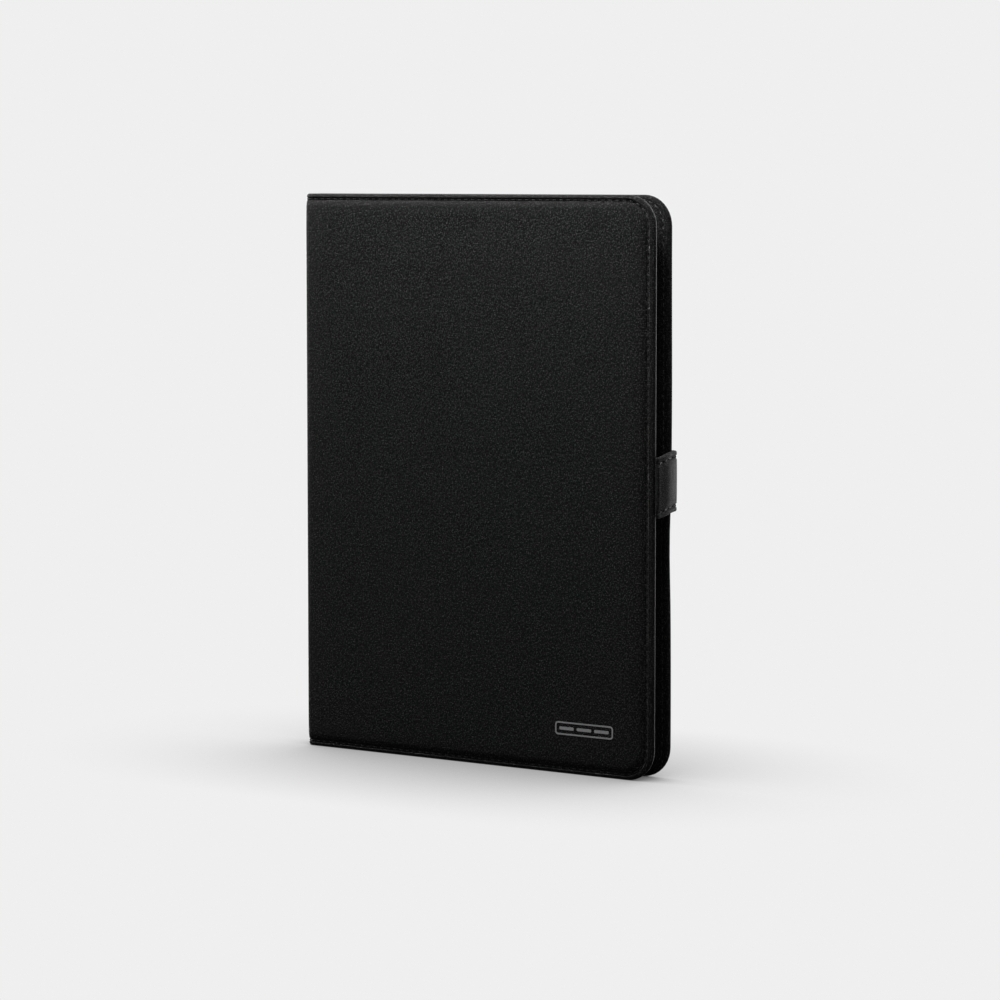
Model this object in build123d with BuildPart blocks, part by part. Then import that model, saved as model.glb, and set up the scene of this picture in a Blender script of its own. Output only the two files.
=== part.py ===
"""Book-style tablet case with a closure strap, standing on its bottom edge with its covers closed.

Frame: +Z up, X across the covers from the spine (-X) to the fore-edge (+X), Y from the front
cover (-Y) to the back cover (+Y). The origin is under the middle of the closed case.
All sizes are millimetres.
"""

from build123d import *
import os

os.makedirs("parts", exist_ok=True)

# The tablet that the case holds
tablet_height = 250.6
tablet_width = 174.1
tablet_thickness = 7.5
tablet_corner_r = 11.0

# Layers of a cover, from outside to inside
fabric_t = 0.8
foam_t = 0.4
board_t = 1.2
lining_t = 0.4

# Moulded tray that grips the tablet
tablet_fit = 0.3
tray_wall = 1.4
tray_floor = 1.2
tray_back_round = 0.8
side_wall_drop = 2.2
tray_corner_reach = 34.0
tray_rim_round = 0.4
adhesive_t = 0.3
adhesive_inset = 6.0

# Room round the tray inside the closed case
lining_gap = 0.8
end_margin = 3.0
fore_margin = 8.9
spine_margin = 6.6

# Covers
corner_r = 14.0
fold_corner_r = 1.5
edge_round = 1.2

# Spine and its two folds
fold_room = 3.0
spine_board_t = 0.8

# Stitching: threads that lie in shallow grooves
thread_w = 0.6
thread_depth = 0.3
lining_thread_depth = 0.2
stitch_inset_ends = 2.2
stitch_inset_fore = 3.4
stitch_start = 1.0

# Foil mark at the lower fore-edge corner of the front cover
foil_w = 31.0
foil_h = 6.0
foil_t = 0.1
foil_from_fore_edge = 20.7
foil_from_bottom = 17.6

# Closure strap
strap_height = 27.0
strap_above_middle = 2.0
strap_end_r = 2.0
strap_fabric_t = 0.7
strap_foam_t = 1.55
strap_lining_t = 0.4
strap_gap = 0.3
strap_front_setback = 0.2
strap_fold_setback = 0.4
strap_edge_round = 0.6
strap_stitch_inset = 3.2
tail_length = 38.0
tail_t = 1.2
tail_setback = 0.5
tail_end_r = 4.0
tail_stitch_inset = 2.4

# Magnets
strap_magnet_w = 5.0
strap_magnet_h = 9.0
strap_magnet_t = 1.0
strap_magnet_spacing = 11.0
strap_magnet_from_end = 1.6
catch_magnet_w = 4.0
catch_magnet_h = 9.0
catch_magnet_t = 1.0
catch_from_edge = 5.4
wake_magnet_w = 3.0
wake_magnet_h = 10.0
wake_magnet_t = 0.8
wake_from_edge = 12.0
wake_heights = (0.30, 0.38, 0.70)

# Camera hole and its ring
camera_from_side = 13.3
camera_from_top = 13.3
ring_bore_r = 6.0
ring_sleeve_t = 1.0
ring_flange_t = 0.5
ring_flange_reach = 1.4
ring_fit = 0.1

# Cut-outs in the tray's walls: width, and place along the wall from the tablet's middle
connector_w = 62.0
headphone_w = 14.0
headphone_from_side = 22.0
power_w = 26.0
power_from_side = 30.0
volume_w = 42.0
volume_from_top = 48.0
cutout_r = 1.2

# Worked out from the values above
cover_t = fabric_t + foam_t + board_t + lining_t
stitch_corner_r = corner_r - (stitch_inset_ends + stitch_inset_fore) / 2
tray_inner_w = tablet_width + 2 * tablet_fit
tray_inner_h = tablet_height + 2 * tablet_fit
tray_outer_w = tray_inner_w + 2 * tray_wall
tray_outer_h = tray_inner_h + 2 * tray_wall
tray_depth = tray_floor + tablet_thickness
cover_height = tray_outer_h + 2 * end_margin
case_width = spine_margin + tray_outer_w + fore_margin
case_depth = 2 * cover_t + adhesive_t + tray_depth + lining_gap
strap_t = strap_fabric_t + strap_foam_t + strap_lining_t
strap_proud = strap_gap + strap_t
tail_overhang = max(tail_t, ring_flange_t)

spine_x = -(case_width + strap_proud) / 2
fore_x = spine_x + case_width
front_y = -(case_depth + tail_overhang) / 2
back_y = front_y + case_depth
middle_z = cover_height / 2
cover_start_x = spine_x + fold_room
cover_width = fore_x - cover_start_x
tray_x = spine_x + spine_margin + tray_outer_w / 2
lining_face_y = back_y - cover_t
tray_back_y = lining_face_y - adhesive_t
tray_floor_y = tray_back_y - tray_floor
tray_rim_y = tray_back_y - tray_depth
camera_x = tray_x + tablet_width / 2 - camera_from_side
camera_z = middle_z + tablet_height / 2 - camera_from_top
ring_sleeve_r = ring_bore_r + ring_sleeve_t
camera_hole_r = ring_sleeve_r + ring_fit
strap_z = middle_z + strap_above_middle
strap_x = fore_x + strap_gap
strap_start_y = front_y + strap_front_setback
strap_length = back_y - strap_fold_setback - strap_start_y


def wall_plane(y):
    """Upright plane at a depth y, with local x along X and local y along Z."""
    return Plane.XZ.offset(-y)


def side_plane(x):
    """Upright plane at a place x, with local x along Y and local y along Z."""
    return Plane.YZ.offset(x)


def cover_outline(inset):
    """A cover's outline, round at the two fore-edge corners, moved in by inset."""
    with BuildSketch() as outline:
        with Locations((cover_start_x + cover_width / 2, middle_z)):
            Rectangle(cover_width - 2 * inset, cover_height - 2 * inset)
        fillet(outline.vertices().group_by(Axis.X)[-1], corner_r - inset)
        fillet(outline.vertices().group_by(Axis.X)[0], fold_corner_r - inset)
    return outline.sketch


def stitch_outline():
    """The seam round a cover's three free sides, as a band one thread wide."""
    length = cover_width - fabric_t - stitch_start - stitch_inset_fore
    height = cover_height - 2 * stitch_inset_ends
    middle_x = fore_x - stitch_inset_fore - length / 2
    with BuildSketch() as band:
        with Locations((middle_x, middle_z)):
            Rectangle(length + thread_w, height + thread_w)
        fillet(band.vertices().group_by(Axis.X)[-1], stitch_corner_r + thread_w / 2)
        with BuildSketch(mode=Mode.PRIVATE) as inside:
            with Locations((middle_x - thread_w, middle_z)):
                Rectangle(length + thread_w, height - thread_w)
            fillet(inside.vertices().group_by(Axis.X)[-1], stitch_corner_r - thread_w / 2)
        add(inside.sketch, mode=Mode.SUBTRACT)
    return band.sketch


def camera_disc(radius):
    """A disc on the camera's axis."""
    with BuildSketch() as disc:
        with Locations((camera_x, camera_z)):
            Circle(radius)
    return disc.sketch


# The space that the camera hole takes out of the back cover's layers
with BuildPart() as camera_hole:
    with BuildSketch(wall_plane(back_y + tail_overhang)):
        add(camera_disc(camera_hole_r))
    extrude(amount=case_depth / 2)


def cover_fabric(face_y, inward, camera):
    """Outer fabric with its edges turned in: a pan, open towards the inside of the case."""
    with BuildPart() as pan:
        with BuildSketch(wall_plane(face_y)):
            add(cover_outline(0))
        extrude(amount=-inward * cover_t)
        outer_face = pan.faces().sort_by(Axis.Y)[0 if inward > 0 else -1]
        fillet(outer_face.edges(), edge_round)
        with BuildSketch(wall_plane(face_y + inward * fabric_t)):
            add(cover_outline(fabric_t))
        extrude(amount=-inward * cover_t, mode=Mode.SUBTRACT)
        with BuildSketch(wall_plane(face_y)):
            add(stitch_outline())
        extrude(amount=-inward * thread_depth, mode=Mode.SUBTRACT)
        if camera:
            add(camera_hole.part, mode=Mode.SUBTRACT)
    return pan.part


def cover_layer(face_y, inward, thickness, camera):
    """One flat layer inside a cover's turned edge."""
    with BuildPart() as layer:
        with BuildSketch(wall_plane(face_y)):
            add(cover_outline(fabric_t))
        extrude(amount=-inward * thickness)
        if camera:
            add(camera_hole.part, mode=Mode.SUBTRACT)
    return layer.part


def cover_lining(face_y, inward, camera):
    """Lining with the groove of the seam's inner thread; face_y is its visible face."""
    with BuildPart() as lining:
        add(cover_layer(face_y, -inward, lining_t, camera))
        with BuildSketch(wall_plane(face_y)):
            add(stitch_outline())
        extrude(amount=inward * lining_thread_depth, mode=Mode.SUBTRACT)
    return lining.part


def cover_stitching(face_y, inward):
    """The seam's two threads: one in the outer fabric, one in the lining."""
    with BuildPart() as threads:
        with BuildSketch(wall_plane(face_y)):
            add(stitch_outline())
        extrude(amount=-inward * thread_depth)
        with BuildSketch(wall_plane(face_y + inward * cover_t)):
            add(stitch_outline())
        extrude(amount=inward * lining_thread_depth)
    return threads.part


def finish(piece, label):
    """Label a finished piece and write it to its own file."""
    piece.label = label
    export_step(piece, f"parts/{label}.step")


# Front cover: foil mark
with BuildPart() as foil_mark:
    with BuildSketch(wall_plane(front_y)):
        with Locations((fore_x - foil_from_fore_edge - foil_w / 2, foil_from_bottom + foil_h / 2)):
            Rectangle(foil_w, foil_h)
    extrude(amount=-foil_t)
finish(foil_mark.part, "foil_mark")

# Front cover: outer fabric, with a shallow seat pressed into it by the foil
with BuildPart() as front_outer_fabric:
    add(cover_fabric(front_y, 1, camera=False))
    add(foil_mark.part, mode=Mode.SUBTRACT)
finish(front_outer_fabric.part, "front_outer_fabric")

# Front cover: foam sheet under the fabric
front_foam_y = front_y + fabric_t
finish(cover_layer(front_foam_y, 1, foam_t, camera=False), "front_foam_sheet")

# Front cover: magnets that wake the screen, set into the inner face of the board
front_board_y = front_foam_y + foam_t
front_board_inner_y = front_board_y + board_t
with BuildPart() as wake_magnets:
    with BuildSketch(wall_plane(front_board_inner_y)):
        with Locations([(fore_x - wake_from_edge, cover_height * share) for share in wake_heights]):
            Rectangle(wake_magnet_w, wake_magnet_h)
    extrude(amount=wake_magnet_t)
finish(wake_magnets.part, "wake_magnets")

# Front cover: pair of magnets that catch the strap's end
with BuildPart() as strap_catch_magnets:
    with BuildSketch(wall_plane(front_board_inner_y)):
        with Locations((fore_x - catch_from_edge, strap_z)):
            with GridLocations(catch_magnet_w, strap_magnet_spacing, 1, 2):
                Rectangle(catch_magnet_w, catch_magnet_h)
    extrude(amount=catch_magnet_t)
finish(strap_catch_magnets.part, "strap_catch_magnets")

# Front cover: stiffener board with the magnets' pockets
with BuildPart() as front_stiffener_board:
    add(cover_layer(front_board_y, 1, board_t, camera=False))
    add(wake_magnets.part, mode=Mode.SUBTRACT)
    add(strap_catch_magnets.part, mode=Mode.SUBTRACT)
finish(front_stiffener_board.part, "front_stiffener_board")

# Front cover: lining and the seam round it
finish(cover_lining(front_y + cover_t, 1, camera=False), "front_lining")
finish(cover_stitching(front_y, 1), "front_edge_stitching")

# Back cover: layers, each with the camera hole, and the seam
finish(cover_layer(back_y - fabric_t, -1, foam_t, camera=True), "back_foam_sheet")
finish(cover_layer(back_y - fabric_t - foam_t, -1, board_t, camera=True), "back_stiffener_board")
finish(cover_lining(lining_face_y, -1, camera=True), "back_lining")
finish(cover_stitching(back_y, -1), "back_edge_stitching")
finish(cover_fabric(back_y, -1, camera=True), "back_outer_fabric")

# Spine: fabric turned round a narrow board, lined on the inside
spine_width = case_depth - 2 * fold_room
spine_middle_y = (front_y + back_y) / 2
spine_t = fabric_t + spine_board_t + lining_t


def spine_outline(inset):
    """The spine's outline between its two folds, moved in by inset."""
    with BuildSketch() as outline:
        with Locations((spine_middle_y, middle_z)):
            Rectangle(spine_width - 2 * inset, cover_height - 2 * inset)
    return outline.sketch


with BuildPart() as spine_outer_fabric:
    with BuildSketch(side_plane(spine_x)):
        add(spine_outline(0))
    extrude(amount=spine_t)
    with BuildSketch(side_plane(spine_x + fabric_t)):
        add(spine_outline(fabric_t))
    extrude(amount=spine_t, mode=Mode.SUBTRACT)
finish(spine_outer_fabric.part, "spine_outer_fabric")

with BuildPart() as spine_board:
    with BuildSketch(side_plane(spine_x + fabric_t)):
        add(spine_outline(fabric_t))
    extrude(amount=spine_board_t)
finish(spine_board.part, "spine_board")

with BuildPart() as spine_lining:
    with BuildSketch(side_plane(spine_x + fabric_t + spine_board_t)):
        add(spine_outline(fabric_t))
    extrude(amount=lining_t)
finish(spine_lining.part, "spine_lining")


def tray_outline(width, height, radius):
    """A round-cornered outline centred on the tray."""
    with BuildSketch() as outline:
        with Locations((tray_x, middle_z)):
            RectangleRounded(width, height, radius)
    return outline.sketch


# Tray base: stiff moulded plate behind the tablet
tray_outer_r = tablet_corner_r + tablet_fit + tray_wall
with BuildPart() as tray_base:
    with BuildSketch(wall_plane(tray_back_y)):
        add(tray_outline(tray_outer_w, tray_outer_h, tray_outer_r))
    extrude(amount=tray_floor)
    fillet(tray_base.faces().sort_by(Axis.Y)[-1].edges(), tray_back_round)
    with BuildSketch(wall_plane(tray_back_y)):
        add(camera_disc(ring_bore_r))
    extrude(amount=tray_floor, mode=Mode.SUBTRACT)
finish(tray_base.part, "tray_base")

# Tray rim: soft frame moulded onto the base, cut through for the connector, buttons and socket
long_gap = tray_outer_h - 2 * tray_corner_reach
short_gap = tray_outer_w - 2 * tray_corner_reach
tray_bottom_z = middle_z - tray_outer_h / 2
tray_top_z = middle_z + tray_outer_h / 2
tray_fore_x = tray_x + tray_outer_w / 2
with BuildPart() as tray_rim:
    with BuildSketch(wall_plane(tray_floor_y)):
        add(tray_outline(tray_outer_w, tray_outer_h, tray_outer_r))
        add(tray_outline(tray_inner_w, tray_inner_h, tablet_corner_r + tablet_fit),
            mode=Mode.SUBTRACT)
    extrude(amount=tray_depth - tray_floor)
    with BuildSketch(wall_plane(tray_rim_y + side_wall_drop)):
        with Locations((tray_x, middle_z)):
            Rectangle(tray_outer_w, long_gap)
            Rectangle(short_gap, tray_outer_h)
    extrude(amount=side_wall_drop, mode=Mode.SUBTRACT)
    with BuildSketch(wall_plane(tray_floor_y)):
        with Locations((tray_x, tray_bottom_z)):
            RectangleRounded(connector_w, 4 * tray_wall, cutout_r)
        with Locations((tray_x - tablet_width / 2 + headphone_from_side, tray_top_z)):
            RectangleRounded(headphone_w, 4 * tray_wall, cutout_r)
        with Locations((tray_x + tablet_width / 2 - power_from_side, tray_top_z)):
            RectangleRounded(power_w, 4 * tray_wall, cutout_r)
        with Locations((tray_fore_x, middle_z + tablet_height / 2 - volume_from_top)):
            RectangleRounded(4 * tray_wall, volume_w, cutout_r)
    extrude(amount=tray_depth, mode=Mode.SUBTRACT)
    fillet(tray_rim.faces().filter_by(Axis.Y).group_by(Axis.Y)[0].edges(), tray_rim_round)
finish(tray_rim.part, "tray_rim")

# Adhesive sheet that bonds the tray to the back lining, clear of the camera hole
with BuildPart() as tray_adhesive_sheet:
    with BuildSketch(wall_plane(lining_face_y)):
        add(tray_outline(tray_outer_w - 2 * adhesive_inset, tray_outer_h - 2 * adhesive_inset,
                         tray_outer_r - adhesive_inset))
        add(camera_disc(camera_hole_r), mode=Mode.SUBTRACT)
    extrude(amount=adhesive_t)
finish(tray_adhesive_sheet.part, "tray_adhesive_sheet")

# Ring that lines the camera hole, flanged over the outer fabric
with BuildPart() as camera_hole_ring:
    with BuildSketch(wall_plane(back_y)):
        add(camera_disc(ring_sleeve_r))
    extrude(amount=cover_t + adhesive_t)
    with BuildSketch(wall_plane(back_y + ring_flange_t)):
        add(camera_disc(ring_sleeve_r + ring_flange_reach))
    extrude(amount=ring_flange_t)
    fillet(camera_hole_ring.faces().sort_by(Axis.Y)[-1].edges(), ring_flange_t / 2)
    with BuildSketch(wall_plane(back_y + ring_flange_t)):
        add(camera_disc(ring_bore_r))
    extrude(amount=case_depth, mode=Mode.SUBTRACT)
finish(camera_hole_ring.part, "camera_hole_ring")


def strap_outline(inset):
    """The strap's side view: round at its free end, square at its fold."""
    with BuildSketch() as outline:
        with Locations((strap_start_y + strap_length / 2, strap_z)):
            Rectangle(strap_length - 2 * inset, strap_height - 2 * inset)
        fillet(outline.vertices().group_by(Axis.X)[0], strap_end_r - inset)
    return outline.sketch


def strap_rows():
    """The strap's two seams, along its upper and lower edges, each one thread wide."""
    with BuildSketch() as rows:
        with Locations((strap_start_y + strap_length / 2, strap_z)):
            with GridLocations(1, strap_height - 2 * strap_stitch_inset, 1, 2):
                Rectangle(strap_length - 2 * strap_end_r, thread_w)
    return rows.sketch


# Strap: outer fabric turned round its edges, open towards the case
with BuildPart() as strap_outer_fabric:
    with BuildSketch(side_plane(strap_x)):
        add(strap_outline(0))
    extrude(amount=strap_t)
    fillet(strap_outer_fabric.faces().sort_by(Axis.X)[-1].edges(), strap_edge_round)
    with BuildSketch(side_plane(strap_x)):
        add(strap_outline(strap_fabric_t))
    extrude(amount=strap_t - strap_fabric_t, mode=Mode.SUBTRACT)
    with BuildSketch(side_plane(strap_x + strap_t)):
        add(strap_rows())
    extrude(amount=-thread_depth, mode=Mode.SUBTRACT)
finish(strap_outer_fabric.part, "strap_outer_fabric")

# Strap: the two rows of thread
with BuildPart() as strap_stitching:
    with BuildSketch(side_plane(strap_x + strap_t)):
        add(strap_rows())
    extrude(amount=-thread_depth)
finish(strap_stitching.part, "strap_stitching")

# Strap: magnets near the free end, in pockets in the foam
strap_foam_x = strap_x + strap_lining_t
magnet_y = strap_start_y + strap_fabric_t + strap_magnet_from_end + strap_magnet_w / 2
with BuildPart() as strap_end_magnets:
    with BuildSketch(side_plane(strap_foam_x)):
        with Locations((magnet_y, strap_z)):
            with GridLocations(1, strap_magnet_spacing, 1, 2):
                Rectangle(strap_magnet_w, strap_magnet_h)
    extrude(amount=strap_magnet_t)
finish(strap_end_magnets.part, "strap_end_magnets")

with BuildPart() as strap_foam:
    with BuildSketch(side_plane(strap_foam_x)):
        add(strap_outline(strap_fabric_t))
    extrude(amount=strap_foam_t)
    add(strap_end_magnets.part, mode=Mode.SUBTRACT)
finish(strap_foam.part, "strap_foam")

# Strap: lining towards the case
with BuildPart() as strap_lining:
    with BuildSketch(side_plane(strap_x)):
        add(strap_outline(strap_fabric_t))
    extrude(amount=strap_lining_t)
finish(strap_lining.part, "strap_lining")

# Strap's tail, sewn flat on the back cover with a box of stitches
tail_middle_x = fore_x - tail_setback - tail_length / 2


def tail_seam():
    """The tail's box seam, one thread wide."""
    seam_w = tail_length - 2 * tail_stitch_inset
    seam_h = strap_height - 2 * tail_stitch_inset
    with BuildSketch() as seam:
        with Locations((tail_middle_x, strap_z)):
            Rectangle(seam_w + thread_w, seam_h + thread_w)
            Rectangle(seam_w - thread_w, seam_h - thread_w, mode=Mode.SUBTRACT)
    return seam.sketch


with BuildPart() as strap_tail:
    with BuildSketch(wall_plane(back_y + tail_t)) as tail_sketch:
        with Locations((tail_middle_x, strap_z)):
            Rectangle(tail_length, strap_height)
        fillet(tail_sketch.vertices().group_by(Axis.X)[0], tail_end_r)
    extrude(amount=tail_t)
    with BuildSketch(wall_plane(back_y + tail_t)):
        add(tail_seam())
    extrude(amount=thread_depth, mode=Mode.SUBTRACT)
finish(strap_tail.part, "strap_tail")

with BuildPart() as strap_tail_stitching:
    with BuildSketch(wall_plane(back_y + tail_t)):
        add(tail_seam())
    extrude(amount=thread_depth)
finish(strap_tail_stitching.part, "strap_tail_stitching")
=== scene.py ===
"""Looks of the book-style tablet case: covers, spine, tray, stitching and strap, in assembly order."""

import math

import bmesh
import bpy
from mathutils import Matrix, Vector


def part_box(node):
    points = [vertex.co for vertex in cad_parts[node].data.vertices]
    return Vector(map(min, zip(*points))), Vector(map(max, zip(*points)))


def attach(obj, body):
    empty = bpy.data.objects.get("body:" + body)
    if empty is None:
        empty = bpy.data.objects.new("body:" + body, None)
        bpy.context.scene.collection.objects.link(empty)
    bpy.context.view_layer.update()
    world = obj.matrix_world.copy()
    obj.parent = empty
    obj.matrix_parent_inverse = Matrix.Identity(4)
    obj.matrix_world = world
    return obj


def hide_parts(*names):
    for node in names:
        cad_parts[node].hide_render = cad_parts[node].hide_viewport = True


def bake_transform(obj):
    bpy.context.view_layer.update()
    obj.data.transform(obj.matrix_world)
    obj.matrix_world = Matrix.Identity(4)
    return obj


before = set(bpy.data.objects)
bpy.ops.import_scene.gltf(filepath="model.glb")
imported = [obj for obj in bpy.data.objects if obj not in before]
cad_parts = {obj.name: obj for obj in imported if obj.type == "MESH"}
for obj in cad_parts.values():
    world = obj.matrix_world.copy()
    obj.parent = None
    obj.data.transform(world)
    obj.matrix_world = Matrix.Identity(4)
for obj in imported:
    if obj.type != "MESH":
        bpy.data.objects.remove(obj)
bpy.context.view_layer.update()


# Camera: a long lens at the height of the case's top edge, turned towards the fore-edge side.
# It is placed from the front cover's spine corner.
cover_lo, cover_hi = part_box("front_outer_fabric")
spine_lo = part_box("spine_outer_fabric")[0]
back_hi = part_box("back_outer_fabric")[1]
quarter_turn = math.radians(90)
camera_from_corner = Vector((1.0447, -1.3587, 0.27025))
camera_turn = math.radians(34.5)
camera_dip = math.radians(5.14)
bpy.ops.object.camera_add(
    location=camera_from_corner + Vector((spine_lo.x, cover_lo.y, 0)),
    rotation=(quarter_turn - camera_dip, 0, camera_turn),
)
camera = bpy.context.object
camera.data.lens = 131.5
camera.data.sensor_width = 36
bpy.context.scene.camera = camera


# Stiffener boards: die-cut greyboard, 1.2 mm thick in each cover and 0.8 mm in the spine. They are
# laminated between the foam and the lining, which hide them.
mm = 0.001
cover_height = cover_hi.z
cover_t = cover_hi.y - cover_lo.y
cover_start = cover_lo.x
corner_r = 14 * mm
near = 0.01 * mm


def colour(code):
    """An sRGB hex value as the linear RGBA that nodes take."""
    parts = [int(code[i:i + 2], 16) / 255 for i in (1, 3, 5)]
    return [c / 12.92 if c <= 0.04045 else ((c + 0.055) / 1.055) ** 2.4 for c in parts] + [1.0]


def node(tree, kind, links=None, **settings):
    """Add a shader node: settings are its properties, links its inputs by name or number."""
    made = tree.nodes.new(kind)
    for key, value in settings.items():
        setattr(made, key, value)
    for socket, value in (links or {}).items():
        if isinstance(value, bpy.types.NodeSocket):
            tree.links.new(value, made.inputs[socket])
        else:
            made.inputs[socket].default_value = value
    return made


def bare_material(name):
    """A new material with an empty tree."""
    made = bpy.data.materials.new(name)
    made.use_nodes = True
    made.node_tree.nodes.clear()
    return made, made.node_tree


def finish_material(tree, surface):
    """Take a shader to the material's output."""
    node(tree, "ShaderNodeOutputMaterial", {"Surface": surface.outputs[0]})


def greyboard():
    """Grey pulp board: matt, with fibre flecks about 0.6 mm long."""
    made, tree = bare_material("greyboard")
    place = node(tree, "ShaderNodeTexCoord")
    flecks = node(tree, "ShaderNodeTexNoise", {
        "Vector": place.outputs["Object"], "Scale": 1 / (0.6 * mm), "Detail": 4.0})
    tint = node(tree, "ShaderNodeMix", {
        0: flecks.outputs["Fac"], 6: colour("#4d4a45"), 7: colour("#6b665f")}, data_type="RGBA")
    rough = node(tree, "ShaderNodeBump", {
        "Height": flecks.outputs["Fac"], "Strength": 0.3, "Distance": 0.05 * mm})
    finish_material(tree, node(tree, "ShaderNodeBsdfPrincipled", {
        "Base Color": tint.outputs[2], "Roughness": 0.95, "IOR": 1.47, "Normal": rough.outputs[0]}))
    return made


def dress(finish, *nodes):
    """Give CAD nodes one finish in place of their plain ones."""
    for name in nodes:
        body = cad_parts[name].data
        body.materials.clear()
        body.materials.append(finish)


def shape(piece):
    """Take one piece alone into edit mode."""
    bpy.ops.object.select_all(action="DESELECT")
    piece.select_set(True)
    bpy.context.view_layer.objects.active = piece
    bpy.ops.object.mode_set(mode="EDIT")


def done():
    """Leave edit mode."""
    bpy.ops.object.mode_set(mode="OBJECT")


def pick(piece, kind, wanted):
    """Select only the vertices, edges or faces that wanted says yes to."""
    bpy.ops.mesh.select_mode(type=kind)
    bpy.ops.mesh.select_all(action="DESELECT")
    mesh = bmesh.from_edit_mesh(piece.data)
    group = {"VERT": mesh.verts, "EDGE": mesh.edges, "FACE": mesh.faces}[kind]
    group.ensure_lookup_table()
    for item in [i for i in group if wanted(i)]:
        item.select_set(True)
    mesh.select_flush_mode()
    bmesh.update_edit_mesh(piece.data)


def cut_across(places, along):
    """Slice the whole shape square to one axis at each place."""
    for place in places:
        bpy.ops.mesh.select_all(action="SELECT")
        bpy.ops.mesh.bisect(
            plane_co=[place if a == along else 0 for a in "XYZ"],
            plane_no=[1 if a == along else 0 for a in "XYZ"])


def flat_plate(name, x_from, x_to, z_from, z_to, y):
    """A flat sheet facing -Y."""
    bpy.ops.object.select_all(action="DESELECT")
    bpy.ops.mesh.primitive_plane_add(
        size=1, location=((x_from + x_to) / 2, y, (z_from + z_to) / 2),
        rotation=(quarter_turn, 0, 0))
    plate = bpy.context.object
    plate.name = plate.data.name = name
    plate.scale = (x_to - x_from, z_to - z_from, 1)
    bpy.ops.object.transform_apply(location=True, rotation=True, scale=True)
    return plate


def face_outwards():
    """Point every face of the shape outwards."""
    bpy.ops.mesh.select_all(action="SELECT")
    bpy.ops.mesh.normals_make_consistent(inside=False)


def extrude_all(depth):
    """Extrude a flat outline along Y into a closed body."""
    bpy.ops.mesh.select_all(action="SELECT")
    bpy.ops.mesh.extrude_region_move(TRANSFORM_OT_translate={"value": (0, depth, 0)})
    face_outwards()


def steps(start, end, pitch):
    """Evenly spaced places between two ends, neither included."""
    count = max(1, round(abs(end - start) / pitch))
    return [start + (end - start) * i / count for i in range(1, count)]


def smoothstep(value, start, end):
    """0 before start, 1 after end, and smooth between."""
    t = min(1.0, max(0.0, (value - start) / (end - start)))
    return t * t * (3 - 2 * t)


def back_sway(z):
    """How far the back cover's free edge wanders inwards, up its height. It waves gently once
    in 140 mm, and the strap pulls it forward by 1 mm just below itself, at 104 mm."""
    wave = math.sin(math.tau * (z / 0.140 + 0.55))
    pull = math.exp(-((z - 0.104) / 0.020) ** 2)
    return 0.25 * mm * wave + 1.0 * mm * pull - 0.5 * mm


def loosened(x, z, sway):
    """The part of a cover's sway that reaches a place on it: none near the spine, where the tray
    holds it flat, and all of it at the fore-edge."""
    flat_until, free_from = 0.110, 0.190
    return sway(z) * smoothstep(x - cover_start, flat_until, free_from)


sway_step = 10 * mm
ring_lo, ring_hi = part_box("camera_hole_ring")
sleeve_r = 7.05 * mm


def cut_camera_hole(piece):
    """Punch the camera's hole through a piece of the back cover."""
    bpy.ops.object.select_all(action="DESELECT")
    bpy.ops.mesh.primitive_cylinder_add(
        vertices=48, radius=sleeve_r, depth=4 * cover_t, rotation=(quarter_turn, 0, 0),
        location=((ring_lo.x + ring_hi.x) / 2, back_hi.y, (ring_lo.z + ring_hi.z) / 2))
    punch = bpy.context.object
    hole = piece.modifiers.new("hole", "BOOLEAN")
    hole.object = punch
    hole.solver = "EXACT"
    bpy.context.view_layer.objects.active = piece
    bpy.ops.object.modifier_apply(modifier="hole")
    bpy.data.objects.remove(punch, do_unlink=True)


def core_sheet(name, node_name, finish):
    """One layer inside the back cover, cut to its outline and following its sway."""
    lo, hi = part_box(node_name)
    core = flat_plate(name, lo.x, hi.x, lo.z, hi.z, hi.y)
    shape(core)
    pick(core, "VERT", lambda v: v.co.x > hi.x - near)
    bpy.ops.mesh.bevel(offset=corner_r - (cover_hi.x - hi.x), segments=8, affect="VERTICES")
    cut_across(steps(lo.x, hi.x - corner_r, 14 * mm), "X")
    cut_across(steps(0, cover_height, sway_step), "Z")
    extrude_all(lo.y - hi.y)
    done()
    for v in core.data.vertices:
        v.co.y -= loosened(v.co.x, v.co.z, back_sway)
    cut_camera_hole(core)
    core.data.materials.append(finish)
    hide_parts(node_name)
    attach(core, "back_cover")


board_finish = greyboard()
dress(board_finish, "front_stiffener_board", "spine_board")
core_sheet("back_board_sheet", "back_stiffener_board", board_finish)


# Foam sheets: 0.4 mm closed-cell polyethylene foam, glued over the boards' outer faces.
# It gives the covers their slight cushion, and the outer cloth hides it.
def closed_cell_foam():
    """Black-dyed polyethylene foam, matt and faintly pitted by cells about 0.4 mm across."""
    made, tree = bare_material("closed_cell_polyethylene_foam")
    place = node(tree, "ShaderNodeTexCoord")
    cells = node(tree, "ShaderNodeTexVoronoi", {
        "Vector": place.outputs["Object"], "Scale": 1 / (0.4 * mm)})
    tint = node(tree, "ShaderNodeMix", {
        0: cells.outputs["Distance"], 6: colour("#262627"), 7: colour("#3a3a3b")}, data_type="RGBA")
    dimples = node(tree, "ShaderNodeBump", {
        "Height": cells.outputs["Distance"], "Strength": 0.4, "Distance": 0.05 * mm})
    finish_material(tree, node(tree, "ShaderNodeBsdfPrincipled", {
        "Base Color": tint.outputs[2], "Roughness": 0.8, "IOR": 1.5, "Normal": dimples.outputs[0]}))
    return made


foam_finish = closed_cell_foam()
dress(foam_finish, "front_foam_sheet")
core_sheet("back_foam_layer", "back_foam_sheet", foam_finish)


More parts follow.
